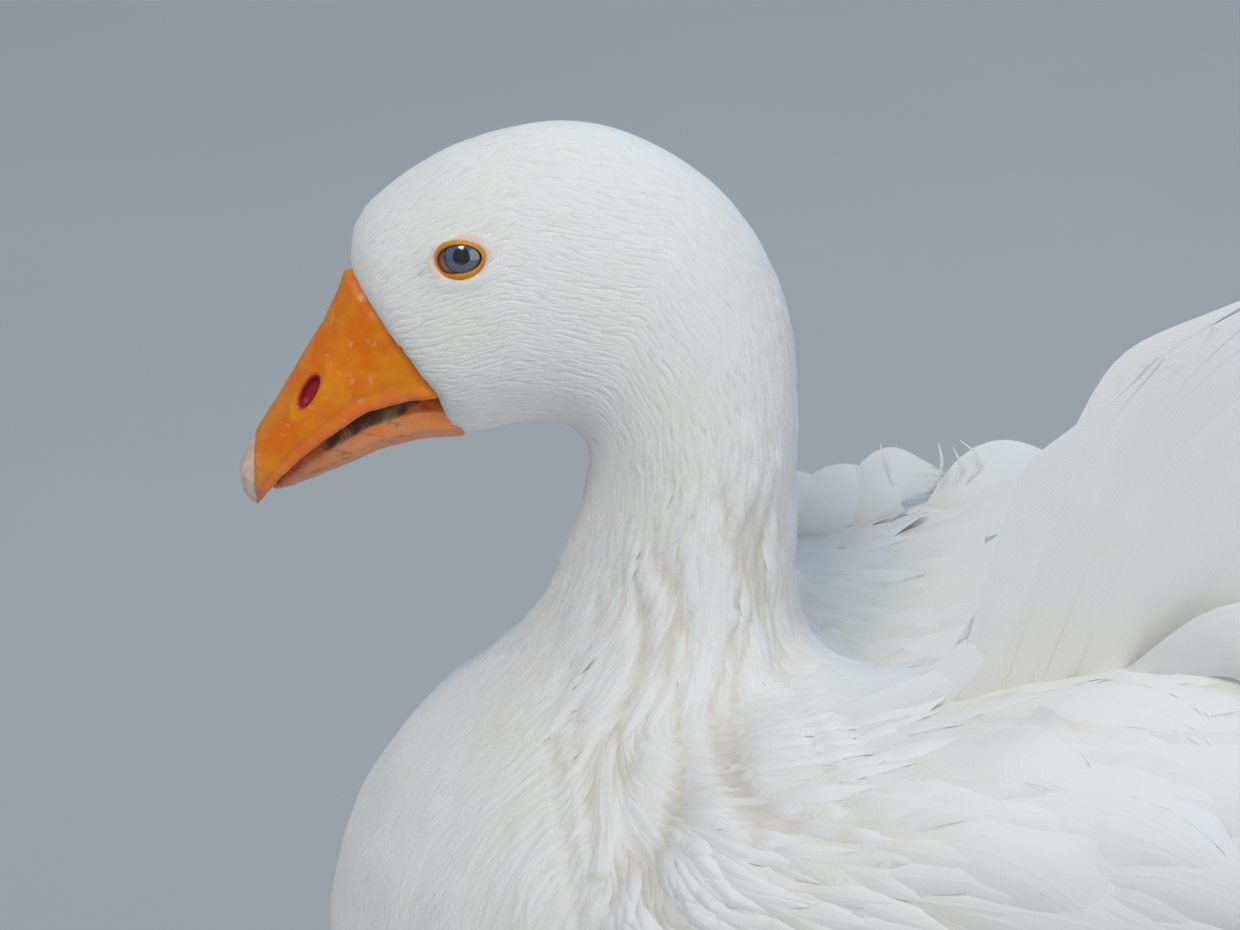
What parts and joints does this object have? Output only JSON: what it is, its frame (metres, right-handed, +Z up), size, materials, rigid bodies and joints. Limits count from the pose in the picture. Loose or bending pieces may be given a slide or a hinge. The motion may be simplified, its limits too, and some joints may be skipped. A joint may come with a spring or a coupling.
{
  "type": "domestic goose",
  "caption": "White domestic goose with loose curled feathers, standing at ease with its neck raised, bill lowered and the plumes of its left shoulder lifted.",
  "frame": {"origin": "on the ground, under the middle of the goose's length and width", "axes": "-X ahead, the way the bill points, +Y to the goose's right side, +Z up"},
  "size_m": [0.566, 0.2472, 0.4577],
  "materials": {
    "plumage": "soft white feathers with a warm tint in their shadows",
    "bill": "orange horn with a soft gloss, pinker toward the tip",
    "bill_nail": "pale pinkish horn",
    "eyelid": "orange-yellow bare skin",
    "eye": "wet, blue-grey iris round a black pupil",
    "leg": "orange scaly skin",
    "claw": "pale horn"
  },
  "bodies": {
    "root": {"bill_upper": "bill", "bill_lower": "bill", "bill_nail": "bill_nail", "head": "plumage", "neck": "plumage", "trunk": "plumage", "tail": "plumage", "plumes_left": "plumage", "eye_left": "eye", "eyelid_left": "eyelid", "wing_left": "plumage", "quills_left": "plumage", "thigh_left": "plumage", "shank_left": "leg", "foot_left": "leg", "claw_left_outer": "claw", "claw_left_middle": "claw", "claw_left_inner": "claw", "claw_left_hind": "claw", "eye_right": "eye", "eyelid_right": "eyelid", "wing_right": "plumage", "quills_right": "plumage", "thigh_right": "plumage", "shank_right": "leg", "foot_right": "leg", "claw_right_outer": "claw", "claw_right_middle": "claw", "claw_right_inner": "claw", "claw_right_hind": "claw"}
  },
  "joints": []
}
